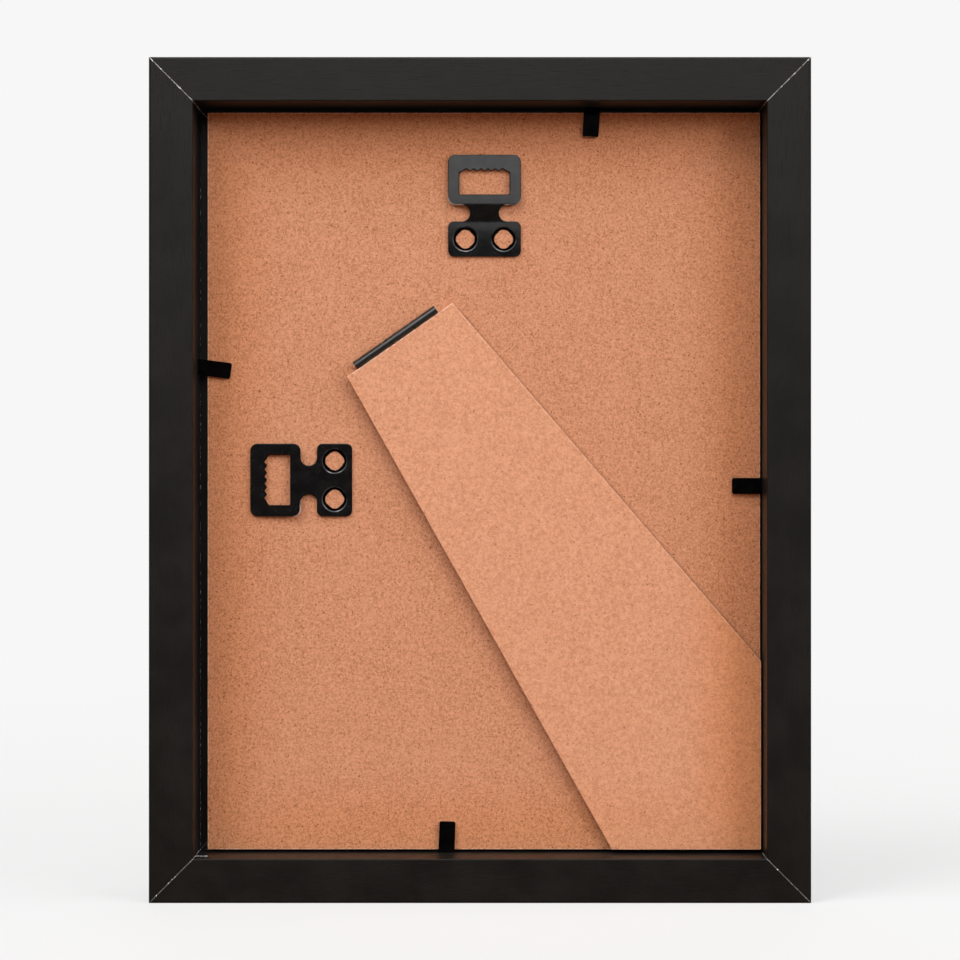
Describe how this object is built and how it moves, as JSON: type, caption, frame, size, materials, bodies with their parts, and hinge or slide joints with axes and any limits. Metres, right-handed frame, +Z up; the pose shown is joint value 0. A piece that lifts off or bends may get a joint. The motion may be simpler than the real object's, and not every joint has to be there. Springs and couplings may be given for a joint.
{
  "type": "easel back photo frame",
  "caption": "Black moulded photo frame with a hardboard back, a hinged easel leg for standing either way up, toothed wall hangers and bendable steel tabs.",
  "frame": {"origin": "middle of the underside, on the surface that the frame stands on", "axes": "+Z up along the long side, +Y out of the back, -Y out through the glass, +X to the left seen from behind"},
  "size_m": [0.212, 0.02, 0.2708],
  "materials": {
    "black_moulding": "satin black foil with a fine embossed wood grain",
    "hardboard": "bare brown hardboard with fine fibres and dark specks",
    "black_steel": "satin black lacquered steel",
    "clear_glass": "clear, polished",
    "white_paper": "plain matt paper",
    "pale_glue": "dried wood glue"
  },
  "bodies": {
    "frame": {"rail_top": "black_moulding", "rail_left": "black_moulding", "rail_right": "black_moulding", "rail_bottom": "black_moulding", "tab_root_top": "black_steel", "tab_root_left": "black_steel", "tab_root_right": "black_steel", "tab_root_bottom": "black_steel", "mitre_glue": "pale_glue", "glass_pane": "clear_glass", "picture_insert": "white_paper", "back_panel": "hardboard", "hinge_panel_leaf": "black_steel", "hinge_pin": "black_steel", "hanger_portrait": "black_steel", "hanger_landscape": "black_steel"},
    "leg": {"easel_leg": "hardboard", "hinge_leg_leaf": "black_steel"},
    "tab_top": {"tab_top": "black_steel"},
    "tab_left": {"tab_left": "black_steel"},
    "tab_right": {"tab_right": "black_steel"},
    "tab_bottom": {"tab_bottom": "black_steel"}
  },
  "joints": [
    {"name": "leg_hinge", "type": "hinge", "parent": "frame", "child": "leg", "pos_m": [0.02747, 0.00055, 0.18168], "axis": [0.8192, 0, -0.5736], "range_deg": [0, 35]},
    {"name": "tab_top_bend", "type": "hinge", "parent": "frame", "child": "tab_top", "pos_m": [-0.03651, -0.00035, 0.25608], "axis": [0.9979, 0, 0.0645], "range_deg": [0, 90]},
    {"name": "tab_left_bend", "type": "hinge", "parent": "frame", "child": "tab_left", "pos_m": [0.09111, -0.00035, 0.17215], "axis": [0.1305, 0, -0.9914], "range_deg": [0, 90]},
    {"name": "tab_right_bend", "type": "hinge", "parent": "frame", "child": "tab_right", "pos_m": [-0.09145, -0.00035, 0.13348], "axis": [0, 0, 1], "range_deg": [0, 90]},
    {"name": "tab_bottom_bend", "type": "hinge", "parent": "frame", "child": "tab_bottom", "pos_m": [0.01088, -0.00035, 0.01463], "axis": [-0.9995, 0, -0.0314], "range_deg": [0, 90]}
  ]
}
